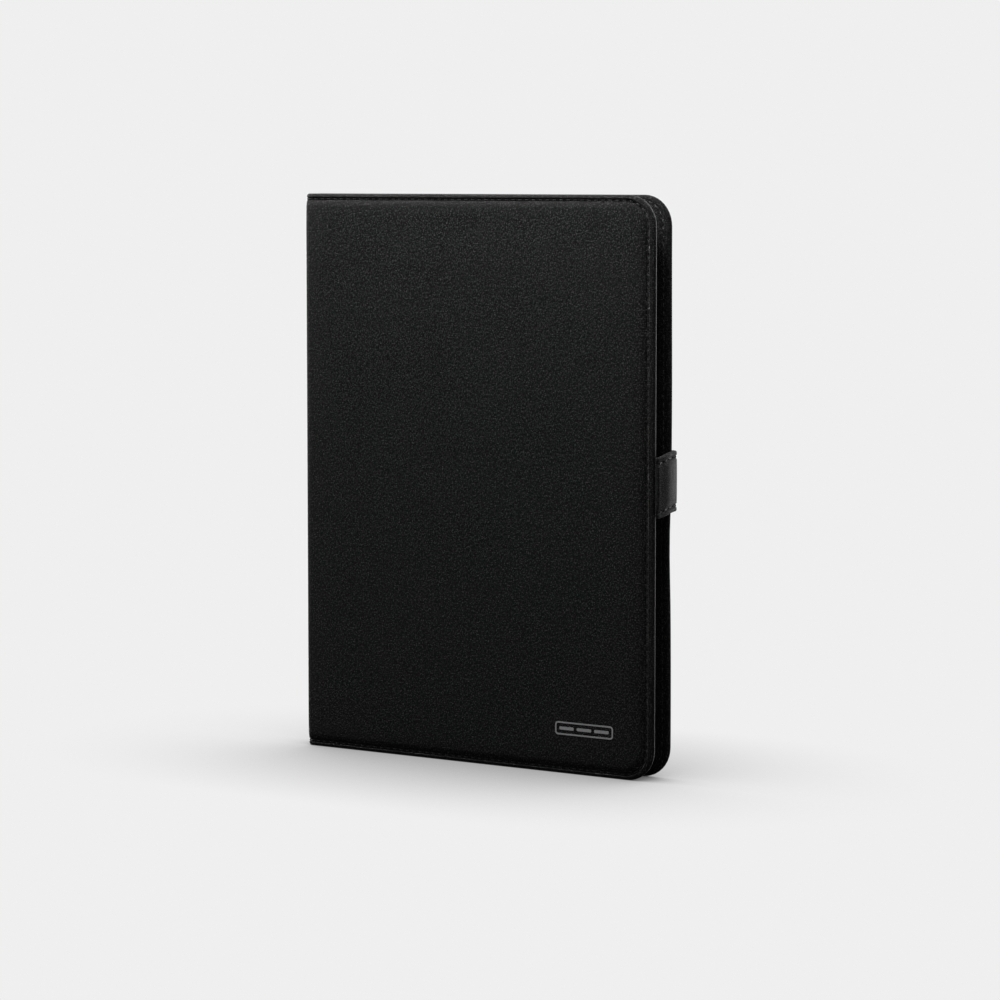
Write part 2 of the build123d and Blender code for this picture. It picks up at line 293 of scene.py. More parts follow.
# Magnets: nickel-plated neodymium blocks, pressed, tumbled and plated, glued into slots in the
# front board, with two more at the strap's free end. Plating is bright, with fine scuffs.
def nickel_plate():
    """Bright nickel over a tumbled magnet, with scuffs about 0.8 mm apart."""
    made, tree = bare_material("nickel_plating")
    place = node(tree, "ShaderNodeTexCoord")
    scuffs = node(tree, "ShaderNodeTexNoise", {
        "Vector": place.outputs["Object"], "Scale": 1 / (0.8 * mm), "Detail": 3.0})
    worn = node(tree, "ShaderNodeMapRange", {
        "Value": scuffs.outputs["Fac"], "To Min": 0.18, "To Max": 0.38})
    finish_material(tree, node(tree, "ShaderNodeBsdfPrincipled", {
        "Base Color": colour("#c9c5bb"), "Metallic": 1.0, "Roughness": worn.outputs[0]}))
    return made


dress(nickel_plate(), "wake_magnets", "strap_catch_magnets", "strap_end_magnets")


# Back cover's cloth: one piece of woven polyester, glued over the foam, rolled round the board's
# edges and turned in on the inside as a hem, then run round the fold as far as mid-spine.
fold_r = cover_start - spine_lo.x
fold_length = fold_r * math.pi / 2
middle_y = (cover_lo.y + back_hi.y) / 2
half_spine = middle_y - (cover_lo.y + fold_r)
mid_spine = cover_start - fold_length - half_spine
roll_r = 1.35 * mm
spine_wall = 1.6 * mm
fore_stitch_extra = 1.1 * mm
groove_deep = 0.65 * mm
inner_groove_deep = 0.3 * mm
cloth_t = 0.45 * mm


def lay_weave(piece):
    """Lay the cloth's own flat coordinates, in metres, on each face by the way that it looks."""
    cloth = piece.data.uv_layers.get("cloth") or piece.data.uv_layers.new(name="cloth")
    for face in piece.data.polygons:
        ways = [abs(n) for n in face.normal]
        for corner in face.loop_indices:
            x, y, z = piece.data.vertices[piece.data.loops[corner].vertex_index].co
            if ways[2] > max(ways[0], ways[1]):
                spot = (x, y)
            elif ways[0] > ways[1]:
                spot = (y, z)
            else:
                spot = (x, z)
            cloth.data[corner].uv = spot
    piece.data.uv_layers.active = cloth


def rolled(x, depth, z, sway):
    """Where a point of the flat cloth goes once it is rolled round the fold on to the spine."""
    u = x - cover_start
    if u >= 0:
        return Vector((x, cover_lo.y + depth + loosened(x, z, sway), z))
    if -u < fold_length:
        turn = -u / fold_r
        return Vector((
            cover_start - (fold_r - depth) * math.sin(turn),
            cover_lo.y + fold_r - (fold_r - depth) * math.cos(turn), z))
    return Vector((spine_lo.x + depth, cover_lo.y + fold_r - u - fold_length, z))


def mirrored(point):
    """The same point on the case's other half."""
    return Vector((point.x, 2 * middle_y - point.y, point.z))


def thicken(piece, thickness):
    """Give a skin its wall, inwards, and smooth its rounds."""
    piece.modifiers.new("wall", "SOLIDIFY").thickness = thickness
    piece.modifiers["wall"].offset = -1
    bpy.context.view_layer.objects.active = piece
    bpy.ops.object.select_all(action="DESELECT")
    piece.select_set(True)
    bpy.ops.object.modifier_apply(modifier="wall")
    bpy.ops.object.shade_smooth_by_angle(angle=math.radians(52))


def cover_cloth(name, sway, is_back):
    """One cover's cloth: cut flat, rolled at its edges, sewn down in a groove and hemmed inside."""
    cloth = flat_plate(name, mid_spine, cover_hi.x, 0, cover_height, cover_t)
    shape(cloth)
    pick(cloth, "VERT", lambda v: v.co.x > cover_hi.x - near)
    bpy.ops.mesh.bevel(offset=corner_r, segments=10, affect="VERTICES")
    extrude_all(-cover_t)
    pick(cloth, "FACE", lambda f: f.normal.x < -0.9)
    bpy.ops.mesh.delete(type="ONLY_FACE")
    pick(cloth, "EDGE", lambda e: len(e.link_faces) == 2
         and abs(e.verts[0].co.y - e.verts[1].co.y) < near)
    bpy.ops.mesh.bevel(offset=roll_r, segments=4, affect="EDGES")

    # Insets as (width, rise) in mm. Outside, the panel swells past its groove. Inside, the hem
    # runs on and then drops over its cut edge.
    panel_area = 0.02
    outer_rest = [(2.5, 0.25), (8.0, 0.1)]
    hem_rest = [(3.0, 0.0), (0.2, -0.35)]
    for facing, deepest, rest in ((-1, groove_deep, outer_rest), (1, inner_groove_deep, hem_rest)):
        dip = deepest / mm
        groove = [(0.5, -dip), (0.9, 0.0), (0.5, dip)]
        pick(cloth, "FACE", lambda f: f.normal.y * facing > 0.99 and f.calc_area() > panel_area)
        bpy.ops.mesh.inset(thickness=0.15 * mm, depth=0, use_boundary=False)
        middle = [f for f in bmesh.from_edit_mesh(cloth.data).faces if f.select]
        ring = {tuple(v.co) for f in middle for v in f.verts if v.co.x > cover_hi.x - corner_r - near}
        pick(cloth, "VERT", lambda v: tuple(v.co) in ring)
        bpy.ops.transform.translate(value=(-fore_stitch_extra, 0, 0))
        pick(cloth, "FACE", lambda f: f.normal.y * facing > 0.99 and f.calc_area() > panel_area)
        for wide, deep in groove + rest:
            bpy.ops.mesh.inset(thickness=wide * mm, depth=deep * mm, use_boundary=False)
        if facing > 0:
            bpy.ops.mesh.delete(type="ONLY_FACE")

    cut_across([cover_start, cover_start - fold_length], "X")
    cut_across(steps(cover_start - fold_length, cover_start, fold_length / 8), "X")
    cut_across(steps(cover_start, cover_hi.x - corner_r - 2 * mm, 12 * mm), "X")
    cut_across(steps(0, cover_height, sway_step), "Z")
    cut_across([spine_wall], "Y")
    pick(cloth, "FACE", lambda f: f.calc_center_median().x < cover_start
         and f.calc_center_median().y > spine_wall)
    bpy.ops.mesh.delete(type="FACE")
    bpy.ops.mesh.select_all(action="SELECT")
    bpy.ops.mesh.delete_loose()
    done()

    lay_weave(cloth)
    for v in cloth.data.vertices:
        spot = rolled(v.co.x, v.co.y, v.co.z, sway)
        v.co = mirrored(spot) if is_back else spot
    if is_back:
        cloth.data.flip_normals()
    thicken(cloth, cloth_t)
    return cloth


def woven_polyester():
    """Near-black plain-woven polyester, matt with a faint bloom at grazing angles. Its threads,
    0.4 mm apart, are drawn 0.5 mm apart so that they show, and paler slubs fleck it all over."""
    made, tree = bare_material("woven_polyester")
    flat = node(tree, "ShaderNodeUVMap", uv_map="cloth")
    threads = node(tree, "ShaderNodeMapping", {
        "Vector": flat.outputs["UV"], "Scale": (1 / (0.5 * mm),) * 3})
    over = node(tree, "ShaderNodeTexChecker", {"Vector": threads.outputs[0], "Scale": 1.0})
    slubs = []
    for stretch in ((1.0, 0.55, 1), (0.55, 1.0, 1)):
        run = node(tree, "ShaderNodeMapping", {"Vector": threads.outputs[0], "Scale": stretch})
        slubs.append(node(tree, "ShaderNodeTexNoise", {
            "Vector": run.outputs[0], "Scale": 1.0, "Detail": 2.0, "Roughness": 0.7}))
    slub = node(tree, "ShaderNodeMix", {
        0: over.outputs["Fac"], 2: slubs[0].outputs["Fac"], 3: slubs[1].outputs["Fac"]})
    spread = node(tree, "ShaderNodeMapRange", {
        "Value": slub.outputs[0], "From Min": 0.53, "From Max": 0.66}, interpolation_type="SMOOTHSTEP")
    tint = node(tree, "ShaderNodeMix", {
        0: spread.outputs[0], 6: colour("#020202"), 7: colour("#242424")}, data_type="RGBA")
    relief = node(tree, "ShaderNodeBump", {
        "Height": slub.outputs[0], "Strength": 0.8, "Distance": 0.25 * mm})
    finish_material(tree, node(tree, "ShaderNodeBsdfPrincipled", {
        "Base Color": tint.outputs[2], "Roughness": 0.8, "IOR": 1.45, "Specular IOR Level": 0.02,
        "Sheen Weight": 0.35, "Sheen Roughness": 0.12, "Sheen Tint": colour("#8a8a8a"),
        "Normal": relief.outputs[0]}))
    return made


cover_finish = woven_polyester()
back_cloth = cover_cloth("back_cover_cloth", back_sway, True)
back_cloth.data.materials.append(cover_finish)
cut_camera_hole(back_cloth)
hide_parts("back_outer_fabric", "spine_outer_fabric")
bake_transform(back_cloth)


# Back cover's lining: one sheet of brushed microfibre, glued inside the board and tucked under the
# hem. It is left a little loose over the fold, where it buckles when the case is shut.
lining_depth = 2.5 * mm
lining_edge = 5.2 * mm
spine_lining_edge = 0.5 * mm
lining_t = 0.3 * mm
lining_bend = cover_start + 2.5 * mm


def lining_sheet(name, sway, is_back):
    """One cover's lining, flat under the hem, with its slack over the fold as far as mid-spine.
    There the hem ends, and the lining widens almost to the ends of the case."""
    y = cover_lo.y + lining_depth
    sheet = flat_plate(name, lining_bend, cover_hi.x - lining_edge,
                       lining_edge, cover_height - lining_edge, y)
    shape(sheet)
    pick(sheet, "VERT", lambda v: v.co.x > cover_hi.x - lining_edge - near)
    bpy.ops.mesh.bevel(offset=corner_r - lining_edge, segments=8, affect="VERTICES")
    cut_across([lining_bend + 0.7 * mm], "X")
    cut_across(steps(lining_bend, cover_hi.x - corner_r, 14 * mm), "X")
    cut_across(steps(0, cover_height, sway_step), "Z")
    # From its bend the sheet falls away from the board in a loose curve, and lands on the spine.
    slack = [
        (cover_start + 1.4 * mm, y + 0.15 * mm), (cover_start + 0.4 * mm, y + 0.6 * mm),
        (cover_start - 0.3 * mm, y + 1.3 * mm), (spine_lo.x + 2.3 * mm, y + 2.1 * mm),
        (spine_lo.x + 2.05 * mm, y + 3.2 * mm), (spine_lo.x + 2.0 * mm, middle_y)]
    x_now, y_now = lining_bend, y
    pick(sheet, "EDGE", lambda e: all(v.co.x < x_now + near for v in e.verts))
    for x_next, y_next in slack:
        bpy.ops.mesh.extrude_region_move(
            TRANSFORM_OT_translate={"value": (x_next - x_now, y_next - y_now, 0)})
        x_now, y_now = x_next, y_next
    bpy.ops.mesh.select_all(action="SELECT")
    bpy.ops.mesh.flip_normals()
    for end, reach in ((lining_edge, spine_lining_edge),
                       (cover_height - lining_edge, cover_height - spine_lining_edge)):
        pick(sheet, "VERT", lambda v: v.co.x < lining_bend + 0.1 * mm and abs(v.co.z - end) < near)
        bpy.ops.transform.translate(value=(0, 0, reach - end))
    done()
    lay_weave(sheet)
    for v in sheet.data.vertices:
        v.co.y += loosened(v.co.x, v.co.z, sway)
        if is_back:
            v.co = mirrored(v.co)
    if is_back:
        sheet.data.flip_normals()
    thicken(sheet, lining_t)
    return sheet


def brushed_microfibre():
    """Charcoal microfibre with a short brushed nap, dull all round. The nap is drawn 0.5 mm
    across, and lies in soft patches about 9 mm across."""
    made, tree = bare_material("brushed_microfibre")
    flat = node(tree, "ShaderNodeUVMap", uv_map="cloth")
    nap = node(tree, "ShaderNodeTexNoise", {
        "Vector": flat.outputs["UV"], "Scale": 1 / (0.5 * mm), "Detail": 5.0, "Roughness": 0.7})
    patches = node(tree, "ShaderNodeTexNoise", {
        "Vector": flat.outputs["UV"], "Scale": 1 / (9 * mm), "Detail": 2.0})
    both = node(tree, "ShaderNodeMix", {0: 0.35, 2: nap.outputs["Fac"], 3: patches.outputs["Fac"]})
    tint = node(tree, "ShaderNodeMix", {
        0: both.outputs[0], 6: colour("#151516"), 7: colour("#272728")}, data_type="RGBA")
    relief = node(tree, "ShaderNodeBump", {
        "Height": nap.outputs["Fac"], "Strength": 0.5, "Distance": 0.06 * mm})
    finish_material(tree, node(tree, "ShaderNodeBsdfPrincipled", {
        "Base Color": tint.outputs[2], "Roughness": 0.95, "IOR": 1.45, "Specular IOR Level": 0.08,
        "Sheen Weight": 0.1, "Sheen Roughness": 0.6, "Sheen Tint": colour("#8c8c8e"),
        "Normal": relief.outputs[0]}))
    return made


lining_finish = brushed_microfibre()
back_lining = lining_sheet("back_cover_lining", back_sway, True)
back_lining.data.materials.append(lining_finish)
cut_camera_hole(back_lining)
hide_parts("back_lining", "spine_lining")
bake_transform(back_lining)


# Back cover's edge seam: a lockstitch of heavy polyester thread through cloth, board edge and hem.
# It lies in the cloth's groove, 2.45 mm in from the ends and 3.55 mm from the fore-edge, and runs
# on round the fold.
stitch_inset = 2.45 * mm
stitch_pitch = 3.7 * mm
stitch_length = 2.1 * mm
thread_r = 0.3 * mm
hole_r = 0.55 * mm


def make_stitch():
    """One stitch on the X axis: a bowed run of thread, diving at each end into a needle hole drawn as a
    near-black disc of painted shade.
    """
    bpy.ops.object.select_all(action="DESELECT")
    bpy.ops.mesh.primitive_cylinder_add(
        vertices=6, radius=thread_r, depth=stitch_length, rotation=(0, quarter_turn, 0))
    stitch = bpy.context.object
    bpy.ops.object.transform_apply(location=True, rotation=True, scale=True)
    shape(stitch)
    cut_across([-0.36 * stitch_length, -0.16 * stitch_length,
                0.16 * stitch_length, 0.36 * stitch_length], "X")
    pick(stitch, "VERT", lambda v: abs(v.co.x) > 0.3 * stitch_length)
    bpy.ops.transform.translate(value=(0, 0, -0.4 * thread_r))
    for end in (-1, 1):
        pick(stitch, "VERT", lambda v: v.co.x * end > 0.45 * stitch_length)
        bpy.ops.transform.resize(
            value=(1, 0.5, 0.5), center_override=(end * stitch_length / 2, 0, -0.4 * thread_r))
        bpy.ops.transform.translate(value=(0, 0, -1.1 * thread_r))
    done()
    bpy.ops.object.shade_smooth_by_angle(angle=math.radians(70))
    bpy.ops.object.select_all(action="DESELECT")
    holes = []
    for end in (-1, 1):
        bpy.ops.mesh.primitive_cylinder_add(
            vertices=8, radius=hole_r, depth=0.3 * mm,
            location=(end * stitch_length / 2, 0, -0.75 * thread_r))
        hole = bpy.context.object
        hole.scale = (1.3, 1.0, 1.0)
        bpy.ops.object.transform_apply(location=True, rotation=True, scale=True)
        shape(hole)
        pick(hole, "FACE", lambda f: f.normal.z > 0.9)
        bpy.ops.mesh.inset(thickness=0.4 * hole_r, depth=-0.1 * mm)
        done()
        # The hole discs take the second slot: near-black painted shade for the needle holes' shadow.
        for face in hole.data.polygons:
            face.material_index = 1
        holes.append(hole)
    for part in (stitch, *holes):
        part.data.materials.append(None)
        part.data.materials.append(None)
        part.select_set(True)
    bpy.context.view_layer.objects.active = stitch
    bpy.ops.object.join()
    return stitch


def corner_line(centre, radius, start, end):
    """Points round a quarter turn in the flat cloth."""
    return [centre + radius * Vector((math.cos(a), math.sin(a)))
            for a in (start + (end - start) * i / 12 for i in range(13))]


def edge_line(from_x):
    """The seam's line on the flat cloth: along the bottom, round the fore-edge and back on top."""
    fore = cover_hi.x - stitch_inset - fore_stitch_extra
    radius = corner_r - stitch_inset
    low = Vector((fore - radius, stitch_inset + radius))
    high = Vector((fore - radius, cover_height - stitch_inset - radius))
    return ([Vector((from_x, stitch_inset))] + corner_line(low, radius, -quarter_turn, 0)
            + corner_line(high, radius, 0, quarter_turn)
            + [Vector((from_x, cover_height - stitch_inset))])


def sew(name, line, place, thread):
    """Copy the stitch at even steps along a flat line. place turns a flat point and a depth
    into a place on the case."""
    template = make_stitch()
    runs = list(zip(line, line[1:]))
    total = sum((b - a).length for a, b in runs)
    count = round(total / stitch_pitch)
    seam = bmesh.new()
    reached, at = 0.0, 0
    tiny = 0.05 * mm
    for k in range(count):
        wanted = total * (k + 0.5) / count
        while reached + (runs[at][1] - runs[at][0]).length < wanted:
            reached += (runs[at][1] - runs[at][0]).length
            at += 1
        a, b = runs[at]
        way = (b - a).normalized()
        spot = a + way * (wanted - reached)
        here = place(spot.x, spot.y, 0)
        along = (place(spot.x + way.x * tiny, spot.y + way.y * tiny, 0)
                 - place(spot.x - way.x * tiny, spot.y - way.y * tiny, 0)).normalized()
        out = (here - place(spot.x, spot.y, tiny)).normalized()
        side = out.cross(along)
        turn = Matrix((along, side, out)).transposed().to_4x4()
        first = len(seam.verts)
        seam.from_mesh(template.data)
        seam.verts.ensure_lookup_table()
        bmesh.ops.transform(seam, matrix=Matrix.Translation(here) @ turn, verts=seam.verts[first:])
    mesh = bpy.data.meshes.new(name)
    seam.to_mesh(mesh)
    seam.free()
    bpy.data.objects.remove(template, do_unlink=True)
    sewn = bpy.data.objects.new(name, mesh)
    bpy.context.scene.collection.objects.link(sewn)
    mesh.materials.clear()
    mesh.materials.append(thread)
    # Second slot: painted shade for the needle holes.
    mesh.materials.append(hole_shade_finish)
    for face in mesh.polygons:
        face.use_smooth = True
    return sewn


def polyester_thread():
    """Black bonded polyester sewing thread, with a slight sheen and its twist 0.5 mm apart."""
    made, tree = bare_material("bonded_polyester_thread")
    place = node(tree, "ShaderNodeTexCoord")
    twist = node(tree, "ShaderNodeTexNoise", {
        "Vector": place.outputs["Object"], "Scale": 1 / (0.5 * mm), "Detail": 2.0})
    tint = node(tree, "ShaderNodeMix", {
        0: twist.outputs["Fac"], 6: colour("#050505"), 7: colour("#101010")}, data_type="RGBA")
    finish_material(tree, node(tree, "ShaderNodeBsdfPrincipled", {
        "Base Color": tint.outputs[2], "Roughness": 0.6, "IOR": 1.5, "Specular IOR Level": 0.08}))
    return made


def painted_hole_shade():
    """Painted shade: near-black colour for the shadow down in a needle hole, laid on the disc at each
    stitch's end.
    """
    made, tree = bare_material("painted_needle_hole_shade")
    place = node(tree, "ShaderNodeTexCoord")
    fray = node(tree, "ShaderNodeTexNoise", {
        "Vector": place.outputs["Object"], "Scale": 1 / (0.3 * mm), "Detail": 1.0})
    tint = node(tree, "ShaderNodeMix", {
        0: fray.outputs["Fac"], 6: colour("#000000"), 7: colour("#060606")}, data_type="RGBA")
    finish_material(tree, node(tree, "ShaderNodeBsdfPrincipled", {
        "Base Color": tint.outputs[2], "Roughness": 1.0, "IOR": 1.5, "Specular IOR Level": 0.0}))
    return made


thread = polyester_thread()
# The needle holes' finish is painted shade.
hole_shade_finish = painted_hole_shade()
inner_row_start = cover_start + 4 * mm


def seam_place(sway, is_back, depth_from, inside):
    """How one of a cover's two stitch rows finds its place from flat coordinates."""
    def place(x, z, depth):
        spot = rolled(x, depth_from - depth if inside else depth_from + depth, z, sway)
        return mirrored(spot) if is_back else spot
    return place


def sew_cover(is_back, sway, side):
    """Both rows of one cover's edge seam, as one piece."""
    outer = sew(side + "_edge_thread", edge_line(mid_spine),
                seam_place(sway, is_back, groove_deep - 0.5 * thread_r, False), thread)
    inner = sew(side + "_edge_thread_inner", edge_line(inner_row_start),
                seam_place(sway, is_back, cover_t - inner_groove_deep + 0.5 * thread_r, True), thread)
    return outer, inner


back_rows = sew_cover(True, back_sway, "back")
for row in back_rows:
    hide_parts("back_edge_stitching")
    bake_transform(row)


# Camera ring: moulded ABS, a sleeve through the cover with a thin flange on each face,
# heat-staked so that it clamps the cloth round the hole.
def moulded_abs():
    """Black ABS from a textured mould, satin, with its fine even grain drawn 0.4 mm across."""
    made, tree = bare_material("moulded_abs")
    place = node(tree, "ShaderNodeTexCoord")
    grain = node(tree, "ShaderNodeTexNoise", {
        "Vector": place.outputs["Object"], "Scale": 1 / (0.4 * mm), "Detail": 2.0})
    tint = node(tree, "ShaderNodeMix", {
        0: grain.outputs["Fac"], 6: colour("#101011"), 7: colour("#1b1b1d")}, data_type="RGBA")
    relief = node(tree, "ShaderNodeBump", {
        "Height": grain.outputs["Fac"], "Strength": 0.25, "Distance": 0.03 * mm})
    finish_material(tree, node(tree, "ShaderNodeBsdfPrincipled", {
        "Base Color": tint.outputs[2], "Roughness": 0.5, "IOR": 1.53, "Specular IOR Level": 0.25,
        "Normal": relief.outputs[0]}))
    return made


dress(moulded_abs(), "camera_hole_ring")


# Tray: a polycarbonate base glued to the lining, with a soft TPU rim moulded on to it. The rim
# holds the tablet, and is cut through for its socket and buttons.
def acrylic_film():
    """Double-sided acrylic adhesive film, faintly hazy and uneven over about 5 mm."""
    made, tree = bare_material("acrylic_adhesive_film")
    place = node(tree, "ShaderNodeTexCoord")
    haze = node(tree, "ShaderNodeTexNoise", {
        "Vector": place.outputs["Object"], "Scale": 1 / (5 * mm), "Detail": 3.0})
    tint = node(tree, "ShaderNodeMix", {
        0: haze.outputs["Fac"], 6: colour("#b8b4a8"), 7: colour("#d3d0c6")}, data_type="RGBA")
    finish_material(tree, node(tree, "ShaderNodeBsdfPrincipled", {
        "Base Color": tint.outputs[2], "Roughness": 0.35, "IOR": 1.49}))
    return made


def matt_plastic(name, dark, pale, roughness, ior, grain_mm):
    """Black plastic from a textured mould: matt, with its grain drawn at the size given."""
    made, tree = bare_material(name)
    place = node(tree, "ShaderNodeTexCoord")
    grain = node(tree, "ShaderNodeTexNoise", {
        "Vector": place.outputs["Object"], "Scale": 1 / (grain_mm * mm), "Detail": 3.0})
    tint = node(tree, "ShaderNodeMix", {
        0: grain.outputs["Fac"], 6: colour(dark), 7: colour(pale)}, data_type="RGBA")
    gloss = node(tree, "ShaderNodeMapRange", {
        "Value": grain.outputs["Fac"], "To Min": roughness - 0.06, "To Max": roughness + 0.06})
    relief = node(tree, "ShaderNodeBump", {
        "Height": grain.outputs["Fac"], "Strength": 0.3, "Distance": 0.04 * mm})
    finish_material(tree, node(tree, "ShaderNodeBsdfPrincipled", {
        "Base Color": tint.outputs[2], "Roughness": gloss.outputs[0], "IOR": ior,
        "Specular IOR Level": 0.15, "Normal": relief.outputs[0]}))
    return made


dress(acrylic_film(), "tray_adhesive_sheet")
dress(matt_plastic("textured_polycarbonate", "#141415", "#202022", 0.5, 1.58, 0.6), "tray_base")
dress(matt_plastic("moulded_tpu", "#0f0f10", "#18181a", 0.6, 1.5, 0.5), "tray_rim")


# Front cover's cloth: the same roll of woven polyester and the same making as the back's,
# meeting it at mid-spine.
def no_sway(z):
    """The front cover lies flat."""
    return 0.0


front_cloth = cover_cloth("front_cover_cloth", no_sway, False)
front_cloth.data.materials.append(cover_finish)
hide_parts("front_outer_fabric", "spine_outer_fabric")
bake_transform(front_cloth)


# Front cover's lining and edge seam: the same microfibre, glued inside the board, and the same
# thread in its outer and inner rows, made as the back's are.
front_lining = lining_sheet("front_cover_lining", no_sway, False)
front_lining.data.materials.append(lining_finish)
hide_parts("front_lining", "spine_lining")
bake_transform(front_lining)
front_rows = sew_cover(False, no_sway, "front")
for row in front_rows:
    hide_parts("front_edge_stitching")
    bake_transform(row)


# Foil badge: grey hot-stamping foil, pressed into the cloth with a heated die. It is a plain
# rounded frame with three bars in it, and the weave prints through.
foil_lo, foil_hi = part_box("foil_mark")
foil_t = foil_hi.y - foil_lo.y
frame_line = 0.7 * mm
panel_rise = 0.35 * mm


def foil_slab(x_from, x_to, z_from, z_to, radius):
    """A flat rounded outline of foil on the raised panel's face, left in edit mode."""
    slab = flat_plate("foil", x_from, x_to, z_from, z_to, foil_lo.y - panel_rise + 0.5 * foil_t)
    shape(slab)
    bpy.ops.mesh.select_all(action="SELECT")
    bpy.ops.mesh.bevel(offset=radius, segments=6, affect="VERTICES")
    return slab


def raise_foil():
    """Give the outline its thickness, outwards."""
    extrude_all(-foil_t)
    done()


badge = foil_slab(foil_lo.x, foil_hi.x, foil_lo.z, foil_hi.z, 1.6 * mm)
bpy.ops.mesh.select_all(action="SELECT")
bpy.ops.mesh.inset(thickness=frame_line, depth=0)
bpy.ops.mesh.delete(type="ONLY_FACE")
raise_foil()
bars = []
foil_mid_z = (foil_lo.z + foil_hi.z) / 2
half_bar = 0.7 * mm
bar_z = (foil_mid_z - half_bar, foil_mid_z + half_bar)
bar_gap = 1.6 * mm
bar_room = foil_hi.x - foil_lo.x - 2 * (frame_line + bar_gap)
bar_length = (bar_room - 2 * bar_gap) / 3
for k in range(3):
    bar_x = foil_lo.x + frame_line + bar_gap + k * (bar_length + bar_gap)
    bars.append(foil_slab(bar_x, bar_x + bar_length, *bar_z, 0.5 * mm))
    raise_foil()
bpy.ops.object.select_all(action="DESELECT")
for outline in (badge, *bars):
    outline.select_set(True)
bpy.context.view_layer.objects.active = badge
bpy.ops.object.join()
badge.name = badge.data.name = "foil_badge"
lay_weave(badge)


def stamped_foil():
    """Pewter-grey pigment foil with a satin face. The cloth's slubs print through it, drawn as
    mottling 0.9 mm across."""
    made, tree = bare_material("hot_stamped_foil")
    flat = node(tree, "ShaderNodeUVMap", uv_map="cloth")
    print_through = node(tree, "ShaderNodeTexNoise", {
        "Vector": flat.outputs["UV"], "Scale": 1 / (0.9 * mm), "Detail": 2.0})
    tint = node(tree, "ShaderNodeMix", {
        0: print_through.outputs["Fac"], 6: colour("#3a3a3c"), 7: colour("#585859")}, data_type="RGBA")
    relief = node(tree, "ShaderNodeBump", {
        "Height": print_through.outputs["Fac"], "Strength": 0.4, "Distance": 0.08 * mm})
    finish_material(tree, node(tree, "ShaderNodeBsdfPrincipled", {
        "Base Color": tint.outputs[2], "Metallic": 0.4, "Roughness": 0.5, "Normal": relief.outputs[0]}))
    return made


badge.data.materials.append(stamped_foil())
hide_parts("foil_mark")
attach(badge, "front_cover")


# Strap: a padded cloth tab over foam, sewn down round its edges. It is stitched flat to the back
# cover, turns round the fore-edge, and its free end is held to the front board by magnets.
strap_lo, strap_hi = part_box("strap_outer_fabric")
tail_lo, tail_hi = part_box("strap_tail")
strap_turn_r = 2.9 * mm
strap_face = (tail_hi.y - strap_turn_r) - strap_lo.y
strap_arc = strap_turn_r * math.pi / 2
tail_run = (strap_hi.x - strap_turn_r) - tail_lo.x
strap_length = strap_face + strap_arc + tail_run
strap_t = strap_hi.x - strap_lo.x
tail_t = tail_hi.y - tail_lo.y
strap_lift = 2.3 * mm
strap_pad_rise = 0.45 * mm
strap_stitch_inset = 2.65 * mm
strap_edge_r = 0.8 * mm
strap_groove = 0.9 * mm
strap_corner_r = 1.3 * mm
strap_end_turn = 0.9 * mm
tail_corner_r = 4.0 * mm


def wrapped(s, depth, z):
    """Where a point of the flat strap goes once it is wrapped round the fore-edge. s is measured
    from the free end, and depth inwards from its outer face. The free end droops a little."""
    z += strap_lift * (smoothstep(s, 0, 1.1 * strap_face) - 0.3)
    if s < strap_face:
        return Vector((strap_hi.x - depth, strap_lo.y + s, z))
    if s < strap_face + strap_arc:
        turn = (s - strap_face) / strap_turn_r
        reach = strap_turn_r - depth
        return Vector((strap_hi.x - strap_turn_r + reach * math.cos(turn),
                       tail_hi.y - strap_turn_r + reach * math.sin(turn), z))
    run = s - strap_face - strap_arc
    return Vector((strap_hi.x - strap_turn_r - run, tail_hi.y - depth, z))


def sewn_relief(from_side):
    """The strap's section: a rolled hem, the groove that its seam pulls in, then the pad."""
    dip = smoothstep(from_side, 1.7 * mm, 2.4 * mm) - smoothstep(from_side, 2.9 * mm, 3.8 * mm)
    return strap_groove * dip


def tail_flattened(s):
    """The share of the strap's relief that is left, where the turn irons it flat for the tail."""
    return 1 - 0.5 * smoothstep(s, strap_face, strap_face + strap_arc)


def end_turned(s, depth):
    """How far the strap's free end curls in towards the covers."""
    return strap_end_turn * (1 - smoothstep(s, 0, 0.62 * strap_face)) * (1 - depth / strap_t)


strap = flat_plate("strap_padded_tab", 0, strap_length, strap_lo.z, strap_hi.z, strap_t)
shape(strap)
pick(strap, "VERT", lambda v: v.co.x < near)
bpy.ops.mesh.bevel(offset=strap_corner_r, segments=4, affect="VERTICES")
pick(strap, "VERT", lambda v: v.co.x > strap_length - near)
bpy.ops.mesh.bevel(offset=tail_corner_r, segments=6, affect="VERTICES")
extrude_all(-strap_t)
pick(strap, "EDGE", lambda e: abs(e.verts[0].co.y - e.verts[1].co.y) < near)
bpy.ops.mesh.bevel(offset=strap_edge_r, segments=4, affect="EDGES")
# Cuts lie close together across the hem and its groove, and round the fore-edge.
hem_cuts = [mm * c for c in (1.2, 1.7, 2.05, 2.4, 2.9, 3.3, 3.8, 4.6, 6.0)]
cut_across([strap_lo.z + c for c in hem_cuts] + [strap_hi.z - c for c in hem_cuts], "Z")
cut_across(steps(strap_lo.z + 6 * mm, strap_hi.z - 6 * mm, 2 * mm), "Z")
cut_across(steps(strap_corner_r, strap_face, 0.9 * mm), "X")
cut_across(steps(strap_face - 0.2 * mm, strap_face + strap_arc + 0.2 * mm, 0.4 * mm), "X")
cut_across(steps(strap_face + strap_arc, strap_length, 4 * mm), "X")
done()
lay_weave(strap)
